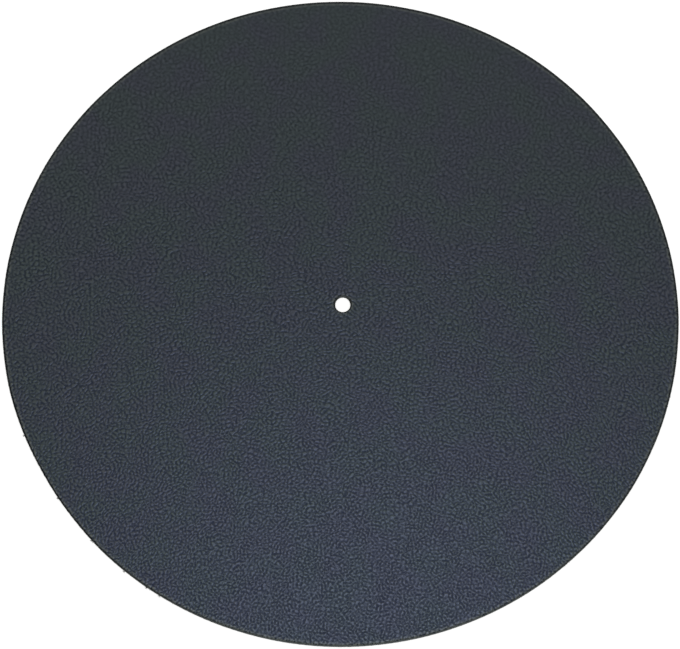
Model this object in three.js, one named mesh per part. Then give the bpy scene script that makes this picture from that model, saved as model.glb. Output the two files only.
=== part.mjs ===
import * as THREE from "three";

// A leather mat for a record player's platter: one flat disc, grain side up, with a hole for the spindle.
// Millimetres, +Z up. The origin is the middle of the spindle hole, on the underside.

// Driving sizes
const MAT_RADIUS = 150;
const HOLE_RADIUS = 3.4;
const THICKNESS = 1.5;

// The section of every cut edge. The blade enters through the grain side and pulls it down into a soft
// round, and it leans a little, so the flesh side stays wider than the grain side.
const GRAIN_ROUND = 0.45;
const CUT_LEAN = 0.12;

// One stretch of the rim where the hand-led cut strays inside the true circle
const STRAY_DEPTH = 0.7;
const STRAY_MIDDLE = THREE.MathUtils.degToRad(217);
const STRAY_HALF_SPAN = THREE.MathUtils.degToRad(19);

// How finely curves are cut into flats
const STEPS_AROUND = 240;
const STEPS_ON_ROUND = 4;

// The section of one cut edge, from the flesh side up to the grain side. `radius` is where it meets the
// underside, and `inward` is 1 where the leather lies nearer the axis than the cut, -1 where it lies further.
function cutEdge(radius, inward) {
  const wallTop = radius - inward * CUT_LEAN;
  const points = [new THREE.Vector2(radius, 0)];
  for (let step = 0; step <= STEPS_ON_ROUND; step++) {
    const turn = (step / STEPS_ON_ROUND) * (Math.PI / 2);
    points.push(
      new THREE.Vector2(
        wallTop - inward * GRAIN_ROUND * (1 - Math.cos(turn)),
        THICKNESS - GRAIN_ROUND * (1 - Math.sin(turn)),
      ),
    );
  }
  return points;
}

// How far the rim lies inside the true circle at an azimuth: nothing at both ends of the stray stretch,
// rising smoothly to its depth in the middle.
function strayAt(azimuth) {
  const away = Math.atan2(Math.sin(azimuth - STRAY_MIDDLE), Math.cos(azimuth - STRAY_MIDDLE));
  if (Math.abs(away) >= STRAY_HALF_SPAN) return 0;
  return STRAY_DEPTH * Math.cos((away / STRAY_HALF_SPAN) * (Math.PI / 2)) ** 2;
}

// Moves the outer edge's points towards the axis along the stray stretch. The hole's edge stays round.
function letRimStray(geometry) {
  const places = geometry.getAttribute("position");
  for (let i = 0; i < places.count; i++) {
    const x = places.getX(i);
    const y = places.getY(i);
    const radius = Math.hypot(x, y);
    if (radius < MAT_RADIUS / 2) continue;
    const share = 1 - strayAt(Math.atan2(y, x)) / radius;
    places.setXY(i, x * share, y * share);
  }
  geometry.computeVertexNormals();
}

// The whole disc: the rim's section going up, the hole's section coming down, closed along the underside
// and turned about the spindle's axis.
function makeMat() {
  const rim = cutEdge(MAT_RADIUS, 1);
  const hole = cutEdge(HOLE_RADIUS, -1).reverse();
  const geometry = new THREE.LatheGeometry([...rim, ...hole, rim[0]], STEPS_AROUND);
  geometry.rotateX(Math.PI / 2);
  letRimStray(geometry);
  const blackLeather = new THREE.MeshStandardMaterial({ color: 0x33383e, roughness: 0.55, metalness: 0 });
  const mat = new THREE.Mesh(geometry, blackLeather);
  mat.name = "platter_mat";
  return mat;
}

const part = new THREE.Group();
part.add(makeMat());

export default part;
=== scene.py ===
# %% [markdown]
# A leather mat for a record player's platter
#
# The object is one disc of black, pebble-grained leather, 300 mm across and 1.5 mm thick, with a small
# hole for the spindle. It lies flat, grain side up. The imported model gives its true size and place, and
# this script gives it the surface of real leather: the soft cut edges, the grain, the dyed rim and the
# suede underneath.

# %% The frame
import math

import bpy
import numpy as np
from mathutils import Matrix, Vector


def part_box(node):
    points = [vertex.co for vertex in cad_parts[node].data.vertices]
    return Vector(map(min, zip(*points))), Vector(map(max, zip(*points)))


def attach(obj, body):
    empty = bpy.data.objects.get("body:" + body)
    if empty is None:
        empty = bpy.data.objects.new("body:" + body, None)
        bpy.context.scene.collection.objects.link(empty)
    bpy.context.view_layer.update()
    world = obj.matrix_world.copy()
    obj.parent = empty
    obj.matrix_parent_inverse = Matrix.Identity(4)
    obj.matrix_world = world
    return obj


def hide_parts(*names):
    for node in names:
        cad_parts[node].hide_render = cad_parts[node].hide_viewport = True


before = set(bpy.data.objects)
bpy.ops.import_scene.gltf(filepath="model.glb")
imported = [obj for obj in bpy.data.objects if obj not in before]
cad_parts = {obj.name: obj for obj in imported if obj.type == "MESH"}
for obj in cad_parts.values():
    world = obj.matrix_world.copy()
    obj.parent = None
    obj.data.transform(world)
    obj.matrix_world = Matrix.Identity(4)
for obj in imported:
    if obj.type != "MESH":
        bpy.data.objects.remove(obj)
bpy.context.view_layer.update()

# %% [markdown]
# Sizes
#
# Lengths are in metres, as everywhere in Blender, so a size that is known in millimetres is written as a
# number of them times MM. The disc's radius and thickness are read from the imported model, so that the
# two can't disagree. Its box doesn't tell the hole's radius, so that one is written out.

# %% Sizes of the disc
MM = 0.001
MAT = "platter_mat"

low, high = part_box(MAT)
RADIUS = (high[0] - low[0]) / 2
THICKNESS = high[2] - low[2]
HOLE_RADIUS = 3.4 * MM
print(f"radius {RADIUS / MM:.2f} mm, thickness {THICKNESS / MM:.2f} mm")

# %% [markdown]
# The camera
#
# The disc is photographed from above and a little from its near side, so its outline is an ellipse that
# is slightly wider than tall. How far the hole sits above the middle of that ellipse tells how close the
# camera stood. The aim point, the tilt, the roll and the lens below put the outline and the hole where
# they are in the photograph. The picture was cropped a little off its middle, and the shift is that crop.

# %% Camera
CAMERA_DISTANCE = 734.4 * MM
CAMERA_TILT = math.radians(17.14)
CAMERA_ROLL = math.radians(4.48)
AIM = np.array([10.4 * MM, -9.02 * MM, 0.0])
LENS = 87.8
CROP_RIGHT, CROP_UP = -0.0353, 0.0028


def make_camera():
    """A camera that looks at AIM. Its back points up and towards the near side by the tilt, and its
    right-hand and upward directions are turned about the line of sight by the roll."""
    back = np.array([0.0, -math.sin(CAMERA_TILT), math.cos(CAMERA_TILT)])
    level_right = np.array([1.0, 0.0, 0.0])
    level_up = np.cross(back, level_right)
    right = math.cos(CAMERA_ROLL) * level_right + math.sin(CAMERA_ROLL) * level_up
    place = np.eye(4)
    place[:3, :3] = np.stack([right, np.cross(back, right), back], axis=1)
    place[:3, 3] = AIM + CAMERA_DISTANCE * back
    data = bpy.data.cameras.new("camera")
    data.lens = LENS
    data.shift_x, data.shift_y = CROP_RIGHT, CROP_UP
    camera = bpy.data.objects.new("camera", data)
    camera.matrix_world = place.T.tolist()
    bpy.context.scene.collection.objects.link(camera)
    bpy.context.scene.camera = camera
    return camera


camera = make_camera()
print("camera at", [round(value, 3) for value in camera.location])

# %% [markdown]
# Helpers for colour and nodes
#
# Colours are written as sRGB hex values, the way a colour picker shows them, and turned to the linear
# numbers that Blender's shaders add up. A material is a tree of nodes, so one small function adds a node
# with its settings and joins its inputs.


# %% Colour and node helpers
def colour(hex_value):
    """A hex sRGB colour as linear red, green, blue and alpha: each channel v becomes v / 12.92 where it
    is dark, and ((v + 0.055) / 1.055) to the power 2.4 elsewhere."""
    srgb = np.array([int(hex_value[i : i + 2], 16) for i in (1, 3, 5)]) / 255
    linear = np.where(srgb <= 0.04045, srgb / 12.92, ((srgb + 0.055) / 1.055) ** 2.4)
    return (*linear.tolist(), 1.0)


def add(tree, kind, inputs=None, **settings):
    """Adds a node of that kind. settings are its own properties, and inputs maps an input's name or
    number to a value, or to the output socket that feeds it."""
    node = tree.nodes.new(kind)
    for name, value in settings.items():
        setattr(node, name, value)
    for key, value in (inputs or {}).items():
        if isinstance(value, bpy.types.NodeSocket):
            tree.links.new(value, node.inputs[key])
        else:
            node.inputs[key].default_value = value
    return node


def new_material(name):
    """An empty material, and its tree with an output node ready to be fed."""
    material = bpy.data.materials.new(name)
    material.use_nodes = True
    material.node_tree.nodes.clear()
    output = add(material.node_tree, "ShaderNodeOutputMaterial")
    return material, material.node_tree, output


# %% [markdown]
# The studio
#
# The mat lies on a white table in soft light. The world gives a little over half of it, evenly from all
# sides. One round softbox hangs overhead, where its mirror image in a perfectly smooth mat would lie
# near the mat's near edge. Leather is only half smooth, so it spreads that image into the wide cool
# sheen that brightens the lower half of the picture. The table is white paper that the camera, and any
# gloss or glass, sees a little brighter than the light makes it. So the ground goes white, and the mat's
# thin shadow stays.

# %% World, lamp and table
WORLD_LEVEL = 0.66
LAMP_PLACE = np.array([0.07, -0.05, 1.5])
LAMP_WIDTH = 0.55
LAMP_WATTS = 11.0
TABLE_HALF = 5.0
TABLE_DROP = 0.01 * MM
PAPER_WHITE = "#f4f4f3"
PAPER_LIFT = 0.16


def seen_share(tree):
    """1 for a ray that comes from the camera, a gloss or a clear thing, and 0 for one that gathers light."""
    ray = add(tree, "ShaderNodeLightPath")
    seen = ray.outputs["Is Camera Ray"]
    for kind in ("Is Glossy Ray", "Is Transmission Ray"):
        either = {0: seen, 1: ray.outputs[kind]}
        seen = add(tree, "ShaderNodeMath", either, operation="ADD", use_clamp=True).outputs[0]
    return seen


def make_world():
    """A white sky at one level, which is seen at full white."""
    world = bpy.data.worlds.new("studio")
    world.use_nodes = True
    tree = world.node_tree
    tree.nodes.clear()
    level = add(tree, "ShaderNodeMapRange", {"Value": seen_share(tree), "To Min": WORLD_LEVEL, "To Max": 1.0})
    sky = add(tree, "ShaderNodeBackground", {"Color": (1, 1, 1, 1), "Strength": level.outputs["Result"]})
    add(tree, "ShaderNodeOutputWorld", {"Surface": sky.outputs["Background"]})
    bpy.context.scene.world = world


def make_softbox(name, place, width, watts):
    """A round area lamp that faces the origin."""
    data = bpy.data.lights.new(name, "AREA")
    data.shape = "DISK"
    data.size = width
    data.energy = watts
    lamp = bpy.data.objects.new(name, data)
    back = place / np.linalg.norm(place)
    right = np.cross([0.0, 1.0, 0.0], back)
    right = right / np.linalg.norm(right)
    matrix = np.eye(4)
    matrix[:3, :3] = np.stack([right, np.cross(back, right), back], axis=1)
    matrix[:3, 3] = place
    lamp.matrix_world = matrix.T.tolist()
    bpy.context.scene.collection.objects.link(lamp)


def make_table():
    """A white square a hair under the mat."""
    material, tree, output = new_material("white_paper")
    paper = add(tree, "ShaderNodeBsdfDiffuse", {"Color": colour(PAPER_WHITE)})
    lift = add(tree, "ShaderNodeMapRange", {"Value": seen_share(tree), "To Min": 0.0, "To Max": PAPER_LIFT})
    glow = add(tree, "ShaderNodeEmission", {"Strength": lift.outputs["Result"]})
    both = add(tree, "ShaderNodeAddShader", {0: paper.outputs[0], 1: glow.outputs[0]})
    tree.links.new(both.outputs[0], output.inputs["Surface"])
    corners = TABLE_HALF * np.array([[-1, -1, 0], [1, -1, 0], [1, 1, 0], [-1, 1, 0]])
    corners[:, 2] = -TABLE_DROP
    mesh = bpy.data.meshes.new("table")
    mesh.from_pydata(corners.tolist(), [], [(0, 1, 2, 3)])
    mesh.materials.append(material)
    table = bpy.data.objects.new("table", mesh)
    bpy.context.scene.collection.objects.link(table)


bpy.context.scene.view_settings.view_transform = "Standard"
make_world()
make_table()
make_softbox("overhead_softbox", LAMP_PLACE, LAMP_WIDTH, LAMP_WATTS)

# %% [markdown]
# How real leather departs from a perfect disc
#
# A hide is never quite even: its thickness rises and falls by a few hundredths of a millimetre over a
# few centimetres. A blade that is led by hand around a circle drifts in and out of it by one or two tenths
# over a hand's breadth, trembles by less than a tenth, and here strayed inside the line in one stretch,
# near the left. All of these are sums of waves. A wave across the hide has a random heading, and a wave
# around the rim has a whole number of crests, so that it meets itself. The hole was punched a quarter of a
# millimetre off the middle, and the leather gave a little as the punch came out, so it is slightly oval.

# %% Waves across the hide and around the rim
BLADE_DRIFT = ((2, 0.12, 22), (3, 0.14, 43), (5, 0.08, 50))
STRAY_DEPTH = 0.45 * MM
STRAY = (217, 19)
TREMBLE = 0.05 * MM
TEETH, TEETH_STRAYED = 0.05 * MM, 0.09 * MM
HOLE_ASIDE = np.array([0.24, 0.07]) * MM
HOLE_OVAL = 0.07 * MM


def hide_waves(x, y, wavelength, count, seed):
    """Smooth unevenness between about -1 and 1: twice the mean of `count` sine waves over the plane, with
    headings and starts drawn at random and wavelengths within a quarter of the one given."""
    draw = np.random.default_rng(seed)
    heading = draw.uniform(0, 2 * np.pi, count)
    number = 2 * np.pi / (wavelength * draw.uniform(0.75, 1.25, count))
    start = draw.uniform(0, 2 * np.pi, count)
    along = x[..., None] * np.cos(heading) + y[..., None] * np.sin(heading)
    return np.sin(along * number + start).mean(axis=-1) * 2


def edge_waves(azimuth, fewest, most, count, seed):
    """Smooth unevenness around an edge: twice the mean of `count` sine waves, each with a random whole
    number of crests, at least `fewest` and less than `most`."""
    draw = np.random.default_rng(seed)
    crests = draw.integers(fewest, most, count)
    start = draw.uniform(0, 2 * np.pi, count)
    return np.sin(azimuth[..., None] * crests + start).mean(axis=-1) * 2


def stretch(azimuth, middle, half_span):
    """A stretch of an edge, given in degrees: 1 in its middle, falling as the square of a cosine to 0 at
    both its ends."""
    turn = azimuth - math.radians(middle)
    away = np.arctan2(np.sin(turn), np.cos(turn)) / math.radians(half_span)
    return np.where(np.abs(away) < 1, np.cos(away * np.pi / 2) ** 2, 0.0)


def rim_inset(azimuth):
    """How far the rim lies inside the true circle: the stray stretch, less the blade's drift, plus a
    tremble and small teeth that are deeper where it strayed. A drift is a whole number of crests, their
    size in millimetres and the azimuth of one of them in degrees."""
    strayed = stretch(azimuth, *STRAY)
    drift = sum(size * MM * np.cos(crests * (azimuth - math.radians(at))) for crests, size, at in BLADE_DRIFT)
    tremble = TREMBLE * (1 + edge_waves(azimuth, 6, 40, count=12, seed=3))
    teeth = (TEETH + TEETH_STRAYED * strayed) * (1 + edge_waves(azimuth, 150, 420, count=24, seed=4))
    return STRAY_DEPTH * strayed - drift + tremble + teeth


# %% [markdown]
# The disc's section
#
# The whole skin is one closed sheet. Going one way, it follows the section of the leather: out along
# the underside, up the cut wall of the rim, over the edge that the blade pulled down, in across the
# grain side and down into the hole. Going the other way, it runs around the spindle. A grid of points in
# these two directions is a ring of leather with no seam and no open end. The rings stand closer together
# near the two cuts, where the surface bends most.

# %% Section of the leather
GRAIN_ROUND = 0.45 * MM
FLESH_ROUND = 0.08 * MM
CUT_LEAN = 0.12 * MM
GRAIN_ROUND_POINTS, FLESH_ROUND_POINTS = 9, 3
UP_THE_WALL = np.array([0.25, 0.75])
RINGS_ON_TOP = 44
RINGS_BELOW = 6


def cut_edge(radius, inward):
    """The section of one cut edge from the flesh side up to the grain side, as radii and heights: a
    small quarter round, a leaning wall, and a large quarter round. `inward` is 1 at the rim, where the
    leather lies nearer the axis than the cut, and -1 at the hole."""
    small = np.linspace(0, np.pi / 2, FLESH_ROUND_POINTS)
    large = np.linspace(0, np.pi / 2, GRAIN_ROUND_POINTS)
    wall_top = radius - inward * CUT_LEAN
    radii = [
        radius - inward * FLESH_ROUND * (1 - np.sin(small)),
        radius - inward * CUT_LEAN * UP_THE_WALL,
        wall_top - inward * GRAIN_ROUND * (1 - np.cos(large)),
    ]
    heights = [
        FLESH_ROUND * (1 - np.cos(small)),
        FLESH_ROUND + (THICKNESS - GRAIN_ROUND - FLESH_ROUND) * UP_THE_WALL,
        THICKNESS - GRAIN_ROUND * (1 - np.sin(large)),
    ]
    return np.concatenate(radii), np.concatenate(heights)


def section():
    """The closed section as radii and heights, from the hole along the underside, up the rim, in across
    the grain side and down the hole. The rings between two ends lie at a share of the way that is the
    mean of an even one and half a cosine wave."""
    rim_r, rim_z = cut_edge(RADIUS, 1)
    hole_r, hole_z = cut_edge(HOLE_RADIUS, -1)
    even = np.linspace(0, 1, RINGS_ON_TOP + 2)[1:-1]
    share = (even + (1 - np.cos(np.pi * even)) / 2) / 2
    top_r = rim_r[-1] + (hole_r[-1] - rim_r[-1]) * share
    under_r = np.linspace(hole_r[0], rim_r[0], RINGS_BELOW + 2)[1:-1]
    radii = np.concatenate([under_r, rim_r, top_r, hole_r[::-1]])
    heights = np.concatenate(
        [np.zeros_like(under_r), rim_z, np.full_like(top_r, THICKNESS), hole_z[::-1]]
    )
    return radii, heights


radii, heights = section()
print(f"section: {len(radii)} points, radii from {radii.min() / MM:.2f} to {radii.max() / MM:.2f} mm")

# %% [markdown]
# The disc's surface
#
# Each ring of the section is turned about the axis, then moved by the waves: near the rim it follows the
# blade's path, near the hole the punch's, and everywhere its height follows the hide's unevenness. Four
# things are kept for the materials. Every strip of faces gets one of three finishes, by the height at its
# middle. Every point remembers how far it lies from the nearest cut, because the dye of the cut edge
# creeps over onto the grain. At the rim that distance is made shorter towards the far side and longer
# towards the near side, so the dark band there is painted shade on the far side. It also remembers how
# strongly that cut is dyed at its azimuth, and how much the grain beside it is rubbed. The dye is thickest
# at the left. Where a cut faces the near side, at the near rim and at the far wall of the hole, the dye
# strength is lowered, which is painted light. The grain is rubbed most where the mat is picked up, at the
# near side.

# %% Points, faces and mesh
AROUND = 1200
EDGE_GIVES_OVER = 8 * MM
SWELL, SWELL_WIDTH = 0.03 * MM, 46 * MM
DIMPLE, DIMPLE_WIDTH = 0.008 * MM, 19 * MM
HIDE_THINNER = 0.02 * MM
GRAIN_FROM, FLESH_UP_TO = 0.03 * MM, 0.01 * MM
# The rim's creep changes by the second amount times the sine of the azimuth: a wider dark band towards the
# far side, which is painted shade, and a narrower one towards the near side.
RIM_CREEP, RIM_PAINTED_SHADE_FAR = 0.12 * MM, 0.33 * MM
HOLE_CREEP_SHORT = 0.2 * MM
# Dye strengths around the rim and the hole: a usual strength, then an amount, a middle and a half span in
# degrees for each stretch. The negative stretches, at the near side of the rim and at the far wall of the
# hole, where the cuts face the near side, are painted light.
RIM_DYE_AND_PAINTED_LIGHT = (0.72, (0.25, 205, 60), (-0.6, 282, 62))
HOLE_DYE_AND_PAINTED_LIGHT = (0.72, (0.15, 0, 55), (0.1, 190, 70), (-0.4, 90, 60))
RIM_RUB = (0.75, (0.4, 255, 80))
HOLE_RUB = (0.4, (0.6, 0, 60), (0.4, 180, 60), (0.2, 270, 45))
PATCHINESS = 0.15
GRAIN_SIDE, CUT_EDGE, FLESH_SIDE = 0, 1, 2


def disc_surface():
    """Points of the disc's skin, a grid of places around by places along the section, and their
    azimuths. A point moves inwards by the rim's inset and by the hole's oval, HOLE_OVAL * cos(2 azimuth),
    each times the square of a share that falls from 1 at its edge to 0 at EDGE_GIVES_OVER from it. It
    moves up by the hide's unevenness, less HIDE_THINNER, in proportion to its height."""
    azimuth = np.arange(AROUND) * (2 * np.pi / AROUND)
    azimuth, radius = np.meshgrid(azimuth, radii, indexing="ij")
    height = np.broadcast_to(heights, radius.shape)
    near_rim = np.clip(1 - (RADIUS - radius) / EDGE_GIVES_OVER, 0, 1) ** 2
    near_hole = np.clip(1 - (radius - HOLE_RADIUS) / EDGE_GIVES_OVER, 0, 1) ** 2
    radius = radius - near_rim * rim_inset(azimuth) - near_hole * HOLE_OVAL * np.cos(2 * azimuth)
    x = radius * np.cos(azimuth) + near_hole * HOLE_ASIDE[0]
    y = radius * np.sin(azimuth) + near_hole * HOLE_ASIDE[1]
    uneven = SWELL * hide_waves(x, y, SWELL_WIDTH, count=16, seed=1)
    uneven = uneven + DIMPLE * hide_waves(x, y, DIMPLE_WIDTH, count=24, seed=2)
    z = height + (uneven - HIDE_THINNER) * height / THICKNESS
    return np.stack([x, y, z], axis=-1), azimuth


def distance_from_cut(azimuth):
    """The level distance in millimetres from each point to the nearer of the rim and the hole. It is less
    by what the rim's dye creeps further in, plus a share times the sine of the azimuth, which is painted
    shade: the dark band is wider towards the far side and narrower towards the near side. It is more by what
    the hole's dye falls short."""
    further = RIM_CREEP + RIM_PAINTED_SHADE_FAR * np.sin(azimuth)
    return np.minimum(RADIUS - radii - further, radii - HOLE_RADIUS + HOLE_CREEP_SHORT) / MM


def around_edge(azimuth, usual, *changes):
    """A strength from 0 to 1 that differs around an edge: the usual one, changed by an amount over each
    stretch, and patchy by a tenth or two."""
    changed = sum(amount * stretch(azimuth, middle, half_span) for amount, middle, half_span in changes)
    patches = PATCHINESS * edge_waves(azimuth, 20, 110, count=24, seed=5)
    return np.clip(usual + changed + patches, 0, 1)


def strip_finishes():
    """The finish of each strip between one ring and the next, by the height halfway up it. The dyed edge
    takes in the round."""
    halfway = (heights + np.roll(heights, -1)) / 2
    on_top = halfway > THICKNESS - GRAIN_FROM
    beneath = halfway < FLESH_UP_TO
    return np.where(on_top, GRAIN_SIDE, np.where(beneath, FLESH_SIDE, CUT_EDGE))


def closed_grid_faces(rows, columns):
    """Four-cornered faces of a grid that meets itself both ways, with the faces looking outwards."""
    row, column = np.meshgrid(np.arange(rows), np.arange(columns), indexing="ij")
    next_row, next_column = (row + 1) % rows, (column + 1) % columns
    corners = [(row, column), (next_row, column), (next_row, next_column), (row, next_column)]
    return np.stack([r * columns + c for r, c in corners], axis=-1).reshape(-1, 4)


def mesh_object(name, points, faces):
    """A smooth-shaded mesh object at the origin, from arrays of points and four-cornered faces."""
    mesh = bpy.data.meshes.new(name)
    mesh.vertices.add(len(points))
    mesh.vertices.foreach_set("co", points.reshape(-1).astype(np.float32))
    mesh.loops.add(faces.size)
    mesh.loops.foreach_set("vertex_index", faces.reshape(-1).astype(np.int32))
    mesh.polygons.add(len(faces))
    mesh.polygons.foreach_set("loop_start", np.arange(0, faces.size, 4, dtype=np.int32))
    mesh.update(calc_edges=True)
    mesh.shade_smooth()
    made = bpy.data.objects.new(name, mesh)
    bpy.context.scene.collection.objects.link(made)
    return made


def keep_for_materials(name, values):
    """Stores one number for each point of the disc under a name that the materials can read."""
    kept = skin.data.attributes.new(name, "FLOAT", "POINT")
    kept.data.foreach_set("value", values.reshape(-1).astype(np.float32))


points, azimuths = disc_surface()
rows, columns = azimuths.shape
skin = mesh_object("leather_disc", points.reshape(-1, 3), closed_grid_faces(rows, columns))
skin.data.polygons.foreach_set("material_index", np.tile(strip_finishes(), rows).astype(np.int32))
at_hole = radii < RADIUS / 2
keep_for_materials("from_cut", distance_from_cut(azimuths))
# The dye strength stored here carries painted light where a cut faces the near side.
for name, rim, hole in (("dye_and_painted_light", RIM_DYE_AND_PAINTED_LIGHT, HOLE_DYE_AND_PAINTED_LIGHT), ("rub", RIM_RUB, HOLE_RUB)):
    strength = np.where(at_hole, around_edge(azimuths, *hole), around_edge(azimuths, *rim))
    keep_for_materials(name, strength)
print(f"disc: {rows} places around, {columns} along the section, {2 * rows * columns} triangles")

# %% [markdown]
# Pebbles and creases
#
# The grain side is a drum-dyed hide, tumbled until the surface gathers into small pebbles. It could be
# modelled as real bumps, but there are some twenty thousand of them, so a pattern in the material does it,
# and the lamp finds its slopes. Three patterns share the work. A Voronoi pattern gives pebbles 1.95 mm
# apart, higher in the middle and parted by furrows. A Gabor pattern gives fine creases in a heading that
# drifts across the hide, as the drum drew it. A plain noise adds the small wrinkles that lie over both.
# Their space is first pulled about by noises, so that no pebble has a straight side. In some places the
# tumbling drew the grain tighter than in others, so the sum is stretched more there. A noise seldom
# leaves the range from 0.35 to 0.65, so those two numbers stand for its ends.
#
# No hide has the same grain all over. At the far rim of this one the pebbles are a quarter larger than in
# the middle, and at the near rim a fifth smaller. They also lie flatter towards the far side. A fan does
# the first: its ribs spread with the distance from the pivot, so anything drawn on it grows evenly in both
# directions and no pebble is drawn out. A ramp along y does the second.

# %% Pebbles and creases
PEBBLE, PEBBLE_SHOULDER, PEBBLE_SHARE = 1.95, 0.4, 1.0
CREASE, CREASES_TOGETHER, CREASE_SHARE = 1.9, 1.6, 1.1
CREASE_ORDER, CREASE_LOW, CREASE_HIGH = 0.3, 0.3, 0.7
WRINKLE, WRINKLE_SHARE = 1.2, 1.0
SLOW_PULL, SLOW_WIDTH = 2.5, 17.0
QUICK_PULL, QUICK_WIDTH = 0.3, 2.0
HEADING_WIDTH, HEADING_TURN = 22.0, 12.0
NOISE_LOW, NOISE_HIGH = 0.35, 0.65
TIGHT_WIDTH, TIGHT_LEAST, TIGHT_MOST = 11.0, 0.45, 0.55
FLAT_FROM, FLAT_AT, FLAT_SHARE = 10.0, 145.0, 0.36
FAN = 700.0
CROWN_SHARE = 0.52


def millimetres(tree):
    """The place on the object, in millimetres."""
    place = add(tree, "ShaderNodeTexCoord")
    return add(
        tree, "ShaderNodeVectorMath", {0: place.outputs["Object"], "Scale": 1 / MM}, operation="SCALE"
    ).outputs[0]


def pulled(tree, place, distance, width):
    """The place, moved about by a noise of that width by up to that distance."""
    pull = add(
        tree,
        "ShaderNodeTexNoise",
        {"Vector": place, "Scale": 1 / width, "Detail": 1.0},
        noise_dimensions="2D",
    )
    return add(
        tree,
        "ShaderNodeVectorMath",
        {0: pull.outputs["Color"], 1: (distance,) * 3, 2: place},
        operation="MULTIPLY_ADD",
    ).outputs[0]


def pebbles(tree, place):
    """0 in a furrow, rising to 1 at PEBBLE_SHOULDER of a pebble's width from it."""
    furrows = add(
        tree,
        "ShaderNodeTexVoronoi",
        {"Vector": pulled(tree, place, QUICK_PULL, QUICK_WIDTH), "Scale": 1 / PEBBLE},
        voronoi_dimensions="2D",
        feature="DISTANCE_TO_EDGE",
    )
    return add(
        tree, "ShaderNodeMapRange", {"Value": furrows.outputs["Distance"], "From Max": PEBBLE_SHOULDER}
    ).outputs[0]


def creases(tree, place):
    """0 in a crease and 1 between two, in a heading that a wide noise turns."""
    drift = add(
        tree,
        "ShaderNodeTexNoise",
        {"Vector": place, "Scale": 1 / HEADING_WIDTH, "Detail": 1.0},
        noise_dimensions="2D",
    )
    heading = add(tree, "ShaderNodeMath", {0: drift.outputs[0], 1: HEADING_TURN}, operation="MULTIPLY")
    ripple = add(
        tree,
        "ShaderNodeTexGabor",
        {
            "Vector": place,
            "Scale": 1 / (CREASE * CREASES_TOGETHER),
            "Frequency": CREASES_TOGETHER,
            "Anisotropy": CREASE_ORDER,
            4: heading.outputs[0],
        },
        gabor_type="2D",
    )
    return add(
        tree,
        "ShaderNodeMapRange",
        {"Value": ripple.outputs["Value"], "From Min": CREASE_LOW, "From Max": CREASE_HIGH},
    ).outputs[0]


def fanned(tree, place):
    """The place on a wide fan, where all that is drawn grows with y: at the distance FAN * exp(-y / FAN)
    from the fan's pivot, and at the angle x / FAN around it."""
    apart = add(tree, "ShaderNodeSeparateXYZ", {0: place})
    angle = add(tree, "ShaderNodeMath", {0: apart.outputs[0], 1: FAN}, operation="DIVIDE").outputs[0]
    power = add(
        tree, "ShaderNodeMath", {0: apart.outputs[1], 1: -1 / FAN, 2: math.log(FAN)}, operation="MULTIPLY_ADD"
    ).outputs[0]
    distance = add(tree, "ShaderNodeMath", {0: power}, operation="EXPONENT").outputs[0]
    sine = add(tree, "ShaderNodeMath", {0: angle}, operation="SINE").outputs[0]
    cosine = add(tree, "ShaderNodeMath", {0: angle}, operation="COSINE").outputs[0]
    around = add(tree, "ShaderNodeCombineXYZ", {0: sine, 1: cosine}).outputs[0]
    return add(tree, "ShaderNodeVectorMath", {0: around, "Scale": distance}, operation="SCALE").outputs[0]


def grain_stretch(tree, place):
    """How much the grain is stretched: a share between TIGHT_LEAST and TIGHT_MOST, by how tight a noise
    says the hide was drawn, times a ramp along y that falls from 1 to FLAT_SHARE."""
    drawn = add(
        tree,
        "ShaderNodeTexNoise",
        {"Vector": place, "Scale": 1 / TIGHT_WIDTH, "Detail": 1.0},
        noise_dimensions="2D",
    )
    tight = add(
        tree,
        "ShaderNodeMapRange",
        {
            "Value": drawn.outputs[0],
            "From Min": NOISE_LOW,
            "From Max": NOISE_HIGH,
            "To Min": TIGHT_LEAST,
            "To Max": TIGHT_MOST,
        },
    )
    apart = add(tree, "ShaderNodeSeparateXYZ", {0: place})
    flat = add(
        tree,
        "ShaderNodeMapRange",
        {
            "Value": apart.outputs[1],
            "From Min": FLAT_FROM,
            "From Max": FLAT_AT,
            "To Min": 1.0,
            "To Max": FLAT_SHARE,
        },
    )
    both = {0: tight.outputs[0], 1: flat.outputs[0]}
    return add(tree, "ShaderNodeMath", both, operation="MULTIPLY").outputs[0]


def grain_height(tree, place):
    """The height of the grain from 0, the deepest furrow, to 1, a crown: pebbles, creases and wrinkles
    added in their shares, less half the sum of the shares, times the stretch, plus CROWN_SHARE, and
    rounded off at both ends."""
    slow = pulled(tree, fanned(tree, place), SLOW_PULL, SLOW_WIDTH)
    wrinkles = add(
        tree,
        "ShaderNodeTexNoise",
        {"Vector": slow, "Scale": 1 / WRINKLE, "Detail": 1.0},
        noise_dimensions="2D",
    )
    parts = (
        (pebbles(tree, slow), PEBBLE_SHARE),
        (creases(tree, slow), CREASE_SHARE),
        (wrinkles.outputs[0], WRINKLE_SHARE),
    )
    total = -sum(share for part, share in parts) / 2
    for part, share in parts:
        more = {0: part, 1: share, 2: total}
        total = add(tree, "ShaderNodeMath", more, operation="MULTIPLY_ADD").outputs[0]
    stretched = add(
        tree,
        "ShaderNodeMath",
        {0: total, 1: grain_stretch(tree, place), 2: CROWN_SHARE},
        operation="MULTIPLY_ADD",
    )
    return add(
        tree, "ShaderNodeMapRange", {"Value": stretched.outputs[0]}, interpolation_type="SMOOTHSTEP"
    ).outputs[0]
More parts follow.
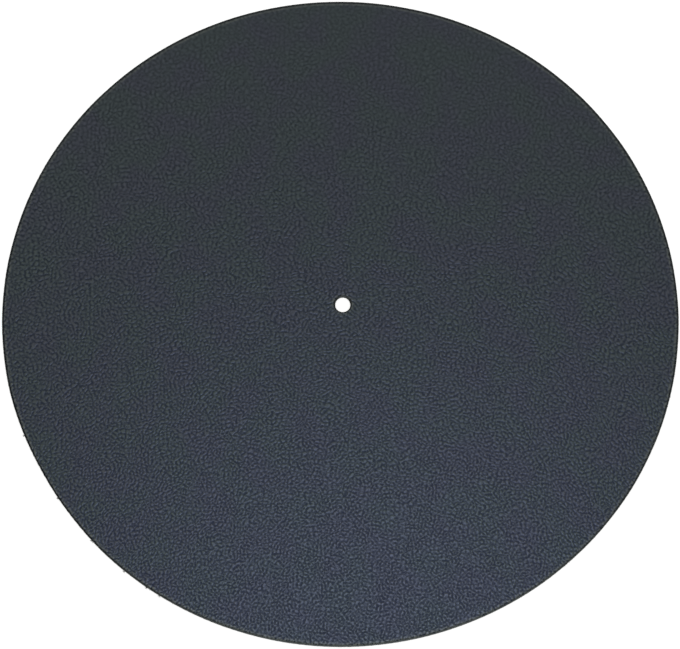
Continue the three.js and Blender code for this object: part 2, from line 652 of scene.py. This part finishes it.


# %% [markdown]
# The finish of the grain side
#
# After tumbling, the hide gets a thin satin finish, and handling polishes the crowns. So a crown is
# smoother than a furrow, and the eye reads the grain by that: in the lamp's sheen the crowns shine and the
# furrows stay dull. Black dye is never quite neutral, and its shine is cool. The hide's own black is
# olive, and the furrows are painted darker than the crowns, partly its tone and partly painted shade.
# The blacks also change along y, as painted light that balances the hue of the lamp's cool sheen: at the
# near side, where the sheen is strongest, the crowns are olive and the furrows blue, and at the far side
# the crowns are bluer and the furrows olive. A slow drift between olive and violet runs over all of it.
# Along both cuts the edge dye has crept over the grain for nearly a millimetre, and just inside that the
# edge is rubbed a little paler.

# %% Grain side
GRAIN_DEPTH = 0.08 * MM
# The furrow blacks are darker than the crown blacks partly as painted shade in the furrows. Each pair goes
# from its near black to its far one along y, between ALL_NEAR and ALL_FAR, as painted light that balances the
# lamp's cool sheen.
FURROW_BLACKS_WITH_PAINTED_SHADE = "#12161c", "#191c14"
CROWN_BLACKS_WITH_PAINTED_LIGHT = "#3c403c", "#393d3f"
ALL_NEAR, ALL_FAR = -130.0, 105.0
OLIVE_CAST, VIOLET_CAST = "#f7fff2", "#fcf5ff"
CAST_WIDTH = 19.0
CROWN_ROUGHNESS, FURROW_ROUGHNESS, DULLNESS_BEND = 0.27, 0.48, 1.3
SHINE_TINT = "#b0c3ff"
DYE_BLACK = "#0d0f0a"
DYE_FULL, DYE_GONE, DYE_DULLS = 0.8, 1.2, 0.5
RUBBED_GREY = "#4e5149"
RUBBED_FROM, RUBBED_TO = 1.4, 2.3
RAGGED, RAGGED_WIDTH = 0.4, 0.9


def across(tree, place, start, end):
    """1 before the start and 0 past the end, falling smoothly."""
    return add(
        tree,
        "ShaderNodeMapRange",
        {"Value": place, "From Min": start, "From Max": end, "To Min": 1.0, "To Max": 0.0},
        interpolation_type="SMOOTHSTEP",
    ).outputs[0]


def hide_tone_and_painted_light(tree, place, height):
    """The colour before wear and edge dye: from the furrow's black to the crown's by the height, the furrow's
    being darker partly as painted shade; each of them mixed from its near and its far one along y, which is
    painted light that balances the sheen's hue; times a cast that drifts from olive to violet."""
    apart = add(tree, "ShaderNodeSeparateXYZ", {0: place})
    # The mix from the near black to the far one is painted light that balances the sheen's hue.
    far = add(
        tree, "ShaderNodeMapRange", {"Value": apart.outputs[1], "From Min": ALL_NEAR, "From Max": ALL_FAR}
    )
    blacks = [
        add(
            tree,
            "ShaderNodeMix",
            {"Factor": far.outputs[0], 6: colour(near_black), 7: colour(far_black)},
            data_type="RGBA",
        )
        for near_black, far_black in (FURROW_BLACKS_WITH_PAINTED_SHADE, CROWN_BLACKS_WITH_PAINTED_LIGHT)
    ]
    # Darker furrows: partly the hide's tone, partly painted shade.
    plain = add(
        tree,
        "ShaderNodeMix",
        {"Factor": height, 6: blacks[0].outputs[2], 7: blacks[1].outputs[2]},
        data_type="RGBA",
    )
    drift = add(
        tree,
        "ShaderNodeTexNoise",
        {"Vector": place, "Scale": 1 / CAST_WIDTH, "Detail": 1.0},
        noise_dimensions="2D",
    )
    share = add(
        tree,
        "ShaderNodeMapRange",
        {"Value": drift.outputs[0], "From Min": NOISE_LOW, "From Max": NOISE_HIGH},
    )
    cast = add(
        tree,
        "ShaderNodeMix",
        {"Factor": share.outputs[0], 6: colour(OLIVE_CAST), 7: colour(VIOLET_CAST)},
        data_type="RGBA",
    )
    return add(
        tree,
        "ShaderNodeMix",
        {"Factor": 1.0, 6: plain.outputs[2], 7: cast.outputs[2]},
        data_type="RGBA",
        blend_type="MULTIPLY",
    ).outputs[2]


def rubbed_dyed_and_painted_light(tree, place, height, tone):
    """The tone, mixed with grey on rubbed crowns and with black under the edge dye, and the share of the
    dye's creep. Both reach in from the cut to a distance that a noise makes ragged. The black band holds
    painted shade, wider towards the far side of the rim, and painted light, paler where a cut faces the near
    side."""
    from_cut = add(tree, "ShaderNodeAttribute", attribute_name="from_cut")
    ragged = add(
        tree,
        "ShaderNodeTexNoise",
        {"Vector": place, "Scale": 1 / RAGGED_WIDTH, "Detail": 1.0},
        noise_dimensions="2D",
    )
    inwards = add(
        tree,
        "ShaderNodeMath",
        {0: ragged.outputs[0], 1: RAGGED, 2: from_cut.outputs["Fac"]},
        operation="MULTIPLY_ADD",
    ).outputs[0]
    creep_and_painted_shade = across(tree, inwards, DYE_FULL + RAGGED / 2, DYE_GONE + RAGGED / 2)
    rubbed_out = across(tree, inwards, RUBBED_FROM + RAGGED / 2, RUBBED_TO + RAGGED / 2)
    rub = add(tree, "ShaderNodeAttribute", attribute_name="rub")
    rubbed = add(tree, "ShaderNodeMath", {0: rubbed_out, 1: rub.outputs["Fac"]}, operation="MULTIPLY")
    on_crowns = add(tree, "ShaderNodeMath", {0: rubbed.outputs[0], 1: height}, operation="MULTIPLY")
    paler = add(
        tree,
        "ShaderNodeMix",
        {"Factor": on_crowns.outputs[0], 6: tone, 7: colour(RUBBED_GREY)},
        data_type="RGBA",
    )
    dye_and_painted_light = add(tree, "ShaderNodeAttribute", attribute_name="dye_and_painted_light")
    # The dye strength is lowered where a cut faces the near side, as painted light, and the creep is wider
    # towards the far side, as painted shade.
    dyed = add(tree, "ShaderNodeMath", {0: creep_and_painted_shade, 1: dye_and_painted_light.outputs["Fac"]}, operation="MULTIPLY")
    dark = add(
        tree,
        "ShaderNodeMix",
        {"Factor": dyed.outputs[0], 6: paler.outputs[2], 7: colour(DYE_BLACK)},
        data_type="RGBA",
    )
    return dark.outputs[2], creep_and_painted_shade


def pebble_leather():
    """The grain side's finish. Its roughness goes from the crown's to the furrow's by (1 - height) to the
    power DULLNESS_BEND, and the edge dye's creep adds DYE_DULLS to it."""
    material, tree, output = new_material("drum_dyed_pebble_grain_leather")
    place = millimetres(tree)
    height = grain_height(tree, place)
    tone, creep_and_painted_shade = rubbed_dyed_and_painted_light(tree, place, height, hide_tone_and_painted_light(tree, place, height))
    depth = add(tree, "ShaderNodeMath", {0: 1.0, 1: height}, operation="SUBTRACT")
    bent = add(tree, "ShaderNodeMath", {0: depth.outputs[0], 1: DULLNESS_BEND}, operation="POWER")
    satin = add(
        tree,
        "ShaderNodeMapRange",
        {"Value": bent.outputs[0], "To Min": CROWN_ROUGHNESS, "To Max": FURROW_ROUGHNESS},
    )
    dulled = add(
        tree,
        "ShaderNodeMath",
        {0: creep_and_painted_shade, 1: DYE_DULLS, 2: satin.outputs[0]},
        operation="MULTIPLY_ADD",
        use_clamp=True,
    )
    relief = add(tree, "ShaderNodeBump", {"Height": height, "Distance": GRAIN_DEPTH})
    leather = add(
        tree,
        "ShaderNodeBsdfPrincipled",
        {
            "Base Color": tone,
            "Roughness": dulled.outputs[0],
            "Specular IOR Level": 0.185,
            "Specular Tint": colour(SHINE_TINT),
            "Normal": relief.outputs["Normal"],
        },
    )
    tree.links.new(leather.outputs[0], output.inputs["Surface"])
    return material


# %% [markdown]
# The cut edge
#
# A cut through leather shows its layers: the dense grain on top and the looser fibres below, lying level.
# The edge and its round are painted with black edge dye, which soaks in and dries dull. Where a cut faces
# the near side, at the near rim and at the far wall of the hole, the black gives way to grey, which is
# painted light. The pattern is a noise that is squeezed in height, so that it runs in level threads.

# %% Cut edge
THREAD, THREAD_DEPTH = 0.48, 0.05 * MM
SQUEEZE = (0.5, 0.5, 2.0)
# The grey tones show where the dye strength is low, at cuts that face the near side, and are painted light.
EDGE_BLACK, EDGE_BLACK_THREAD = "#0b0c08", "#1c1e18"
EDGE_GREY_AND_PAINTED_LIGHT, EDGE_GREY_THREAD_AND_PAINTED_LIGHT = "#434748", "#5d6263"


def dyed_cut_edge():
    """The cut edge's finish: threads whose tones go from the grey ones, which are painted light, to the dyed
    ones by the dye strength.
    """
    material, tree, output = new_material("dyed_cut_leather_edge")
    squeezed = add(
        tree, "ShaderNodeVectorMath", {0: millimetres(tree), 1: SQUEEZE}, operation="MULTIPLY"
    )
    threads = add(
        tree, "ShaderNodeTexNoise", {"Vector": squeezed.outputs[0], "Scale": 1 / THREAD, "Detail": 3.0}
    )
    tones = [
        add(
            tree,
            "ShaderNodeMix",
            {"Factor": threads.outputs[0], 6: colour(between), 7: colour(thread)},
            data_type="RGBA",
        )
        for between, thread in ((EDGE_GREY_AND_PAINTED_LIGHT, EDGE_GREY_THREAD_AND_PAINTED_LIGHT), (EDGE_BLACK, EDGE_BLACK_THREAD))
    ]
    dye_and_painted_light = add(tree, "ShaderNodeAttribute", attribute_name="dye_and_painted_light")
    tone = add(
        tree,
        "ShaderNodeMix",
        {"Factor": dye_and_painted_light.outputs["Fac"], 6: tones[0].outputs[2], 7: tones[1].outputs[2]},
        data_type="RGBA",
    )
    relief = add(tree, "ShaderNodeBump", {"Height": threads.outputs[0], "Distance": THREAD_DEPTH})
    edge = add(
        tree,
        "ShaderNodeBsdfPrincipled",
        {
            "Base Color": tone.outputs[2],
            "Roughness": 0.8,
            "Specular IOR Level": 0.03,
            "Normal": relief.outputs["Normal"],
        },
    )
    tree.links.new(edge.outputs[0], output.inputs["Surface"])
    return material


# %% [markdown]
# The flesh side
#
# The underside grips the platter. It is the bare flesh side of the hide, dyed through with the rest and
# buffed to a short, dense nap. Nap scatters light, so it has no shine, only a faint velvet bloom at low
# angles. It shows slow clouds, where the fibres were brushed one way or another, and a fine lint-like
# texture. The real fibres are hundredths of a millimetre thick. They are drawn here as coarse as 0.5 mm,
# because anything finer would not show.

# %% Flesh side
NAP, NAP_DEPTH = 0.5, 0.12 * MM
NAP_PULL, NAP_PULL_WIDTH = 1.2, 3.0
CLOUD, CLOUD_SHARE = 9.0, 0.9
NAP_DARK, NAP_LIGHT = "#17191a", "#3a3c3d"
ALL_DARK, ALL_LIGHT = 0.6, 1.3


def suede():
    """The flesh side's finish: a velvet whose tone goes from dark to light by the nap, plus CLOUD_SHARE of
    the clouds."""
    material, tree, output = new_material("buffed_flesh_side_suede")
    place = millimetres(tree)
    nap = add(
        tree,
        "ShaderNodeTexNoise",
        {
            "Vector": pulled(tree, place, NAP_PULL, NAP_PULL_WIDTH),
            "Scale": 1 / NAP,
            "Detail": 3.0,
            "Roughness": 0.6,
        },
        noise_dimensions="2D",
    )
    cloud = add(
        tree,
        "ShaderNodeTexNoise",
        {"Vector": place, "Scale": 1 / CLOUD, "Detail": 3.0, "Distortion": 0.8},
        noise_dimensions="2D",
    )
    brushed = add(
        tree,
        "ShaderNodeMath",
        {0: cloud.outputs[0], 1: CLOUD_SHARE, 2: nap.outputs[0]},
        operation="MULTIPLY_ADD",
    )
    share = add(
        tree,
        "ShaderNodeMapRange",
        {"Value": brushed.outputs[0], "From Min": ALL_DARK, "From Max": ALL_LIGHT},
    )
    tone = add(
        tree,
        "ShaderNodeMix",
        {"Factor": share.outputs[0], 6: colour(NAP_DARK), 7: colour(NAP_LIGHT)},
        data_type="RGBA",
    )
    relief = add(tree, "ShaderNodeBump", {"Height": nap.outputs[0], "Distance": NAP_DEPTH})
    velvet = add(
        tree,
        "ShaderNodeBsdfPrincipled",
        {
            "Base Color": tone.outputs[2],
            "Roughness": 0.95,
            "Specular IOR Level": 0.2,
            "Sheen Weight": 0.25,
            "Sheen Roughness": 0.6,
            "Normal": relief.outputs["Normal"],
        },
    )
    tree.links.new(velvet.outputs[0], output.inputs["Surface"])
    return material


# %% [markdown]
# Putting the finishes on
#
# Every face already has the number of its finish, so the three materials go on in the order of those
# numbers.

# %% Put the finishes on
skin.data.materials.append(pebble_leather())
skin.data.materials.append(dyed_cut_edge())
skin.data.materials.append(suede())
print("finishes:", [material.name for material in skin.data.materials])

# %% [markdown]
# Loose fibres at the rim
#
# A blade never cuts every fibre of a hide clean. The longest ones stand out in six small tufts, along and
# just past the stretch where the cut strayed, and short single ones stand out all around. Each is a thin
# tapered tube that leaves the wall, drifts to one side and droops a little. All of them are one mesh,
# worked out at once: a fibre's middle line is its root plus a heading times the way along, plus a bend
# times the square of that way.

# %% Fibres
TUFTS = np.radians([208.1, 220.1, 229.5, 236.7, 241.2, 243.7])
TUFT_SPREAD = 0.0018
FIBRES_IN_TUFT, TUFT_LENGTHS = 7, (0.5, 0.95)
FIBRES_ALONE, ALONE_LENGTHS = 70, (0.2, 0.45)
FIBRE_RINGS, FIBRE_SIDES = 6, 5
ROOT_DEPTH, ROOT_HEIGHTS = 0.25 * MM, (0.35, 0.85)
LEAN_ASIDE, BEND_ASIDE, DROOP = 0.5, 0.35, 0.15
HALF_THICKNESSES, TAPER = (0.04, 0.075), 0.8
FIBRE_BLACK, FIBRE_GREY, FIBRE_PATCH = "#12140f", "#2a2c26", 0.5


def fibre_roots(draw):
    """Azimuths and lengths: tufts that stand close together, and short single fibres all around."""
    tufts = np.repeat(TUFTS, FIBRES_IN_TUFT)
    tufts = tufts + draw.normal(0, TUFT_SPREAD, tufts.size)
    azimuth = np.concatenate([tufts, draw.uniform(0, 2 * np.pi, FIBRES_ALONE)])
    length = np.concatenate(
        [draw.uniform(*TUFT_LENGTHS, tufts.size), draw.uniform(*ALONE_LENGTHS, FIBRES_ALONE)]
    )
    return azimuth, length * MM


def fibre_points():
    """Points of all fibres, as fibres by rings by sides by three. Round the middle line, a ring's radius
    shrinks with the square of the way along, and its two axes stand square to the fibre's heading."""
    draw = np.random.default_rng(7)
    azimuth, length = fibre_roots(draw)
    outward = np.stack([np.cos(azimuth), np.sin(azimuth), np.zeros_like(azimuth)], axis=-1)
    sideways = np.stack([-np.sin(azimuth), np.cos(azimuth), np.zeros_like(azimuth)], axis=-1)
    upward = np.array([0.0, 0.0, 1.0])
    reach = RADIUS - rim_inset(azimuth) - ROOT_DEPTH
    root_height = draw.uniform(*ROOT_HEIGHTS, azimuth.size) * MM
    root = outward * reach[:, None] + upward * root_height[:, None]
    heading = outward + sideways * draw.normal(0, LEAN_ASIDE, azimuth.size)[:, None]
    heading = heading / np.linalg.norm(heading, axis=-1, keepdims=True)
    bend = sideways * draw.normal(0, BEND_ASIDE, azimuth.size)[:, None] - upward * DROOP
    way = np.linspace(0, 1, FIBRE_RINGS)[None, :, None]
    reach_out = (length + ROOT_DEPTH)[:, None, None]
    middle = root[:, None, :] + reach_out * (heading[:, None, :] * way + bend[:, None, :] * way**2)
    half = draw.uniform(*HALF_THICKNESSES, azimuth.size)[:, None, None, None] * MM
    radius = half * (1 - TAPER * way[..., None] ** 2)
    across_fibre = np.cross(heading, upward)
    turn = np.arange(FIBRE_SIDES) * (2 * np.pi / FIBRE_SIDES)
    ring = (
        np.cos(turn)[None, None, :, None] * across_fibre[:, None, None, :]
        + np.sin(turn)[None, None, :, None] * upward
    )
    return middle[:, :, None, :] + radius * ring


def fibre_faces(count):
    """Sides of every tube, and a cap at each end, as lists of corners that look outwards."""
    size = FIBRE_RINGS * FIBRE_SIDES
    start = np.arange(count)[:, None, None] * size
    ring, side = np.meshgrid(np.arange(FIBRE_RINGS - 1), np.arange(FIBRE_SIDES), indexing="ij")
    next_side = (side + 1) % FIBRE_SIDES
    corners = [(ring, side), (ring, next_side), (ring + 1, next_side), (ring + 1, side)]
    walls = np.stack([start + r * FIBRE_SIDES + c for r, c in corners], axis=-1).reshape(-1, 4)
    first = start[:, 0] + np.arange(FIBRE_SIDES)[::-1]
    last = start[:, 0] + size - FIBRE_SIDES + np.arange(FIBRE_SIDES)
    return walls.tolist() + first.tolist() + last.tolist()


def cut_fibre_leather():
    """The fibres' finish, from black to grey by a noise, because the dye doesn't take evenly on them."""
    material, tree, output = new_material("dyed_leather_fibre")
    patchy = add(
        tree, "ShaderNodeTexNoise", {"Vector": millimetres(tree), "Scale": 1 / FIBRE_PATCH, "Detail": 1.0}
    )
    tone = add(
        tree,
        "ShaderNodeMix",
        {"Factor": patchy.outputs[0], 6: colour(FIBRE_BLACK), 7: colour(FIBRE_GREY)},
        data_type="RGBA",
    )
    fibre = add(
        tree,
        "ShaderNodeBsdfPrincipled",
        {"Base Color": tone.outputs[2], "Roughness": 0.7, "Specular IOR Level": 0.25},
    )
    tree.links.new(fibre.outputs[0], output.inputs["Surface"])
    return material


tubes = fibre_points()
fibre_mesh = bpy.data.meshes.new("cut_fibres")
fibre_mesh.from_pydata(tubes.reshape(-1, 3).tolist(), [], fibre_faces(len(tubes)))
fibre_mesh.shade_smooth()
fibre_mesh.materials.append(cut_fibre_leather())
fibres = bpy.data.objects.new("cut_fibres", fibre_mesh)
bpy.context.scene.collection.objects.link(fibres)
print(f"fibres: {len(tubes)}, lowest point {tubes[..., 2].min() / MM:.2f} mm")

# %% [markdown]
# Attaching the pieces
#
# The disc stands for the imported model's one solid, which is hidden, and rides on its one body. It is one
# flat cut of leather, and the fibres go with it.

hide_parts(MAT)
for piece in (skin, fibres):
    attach(piece, "root")
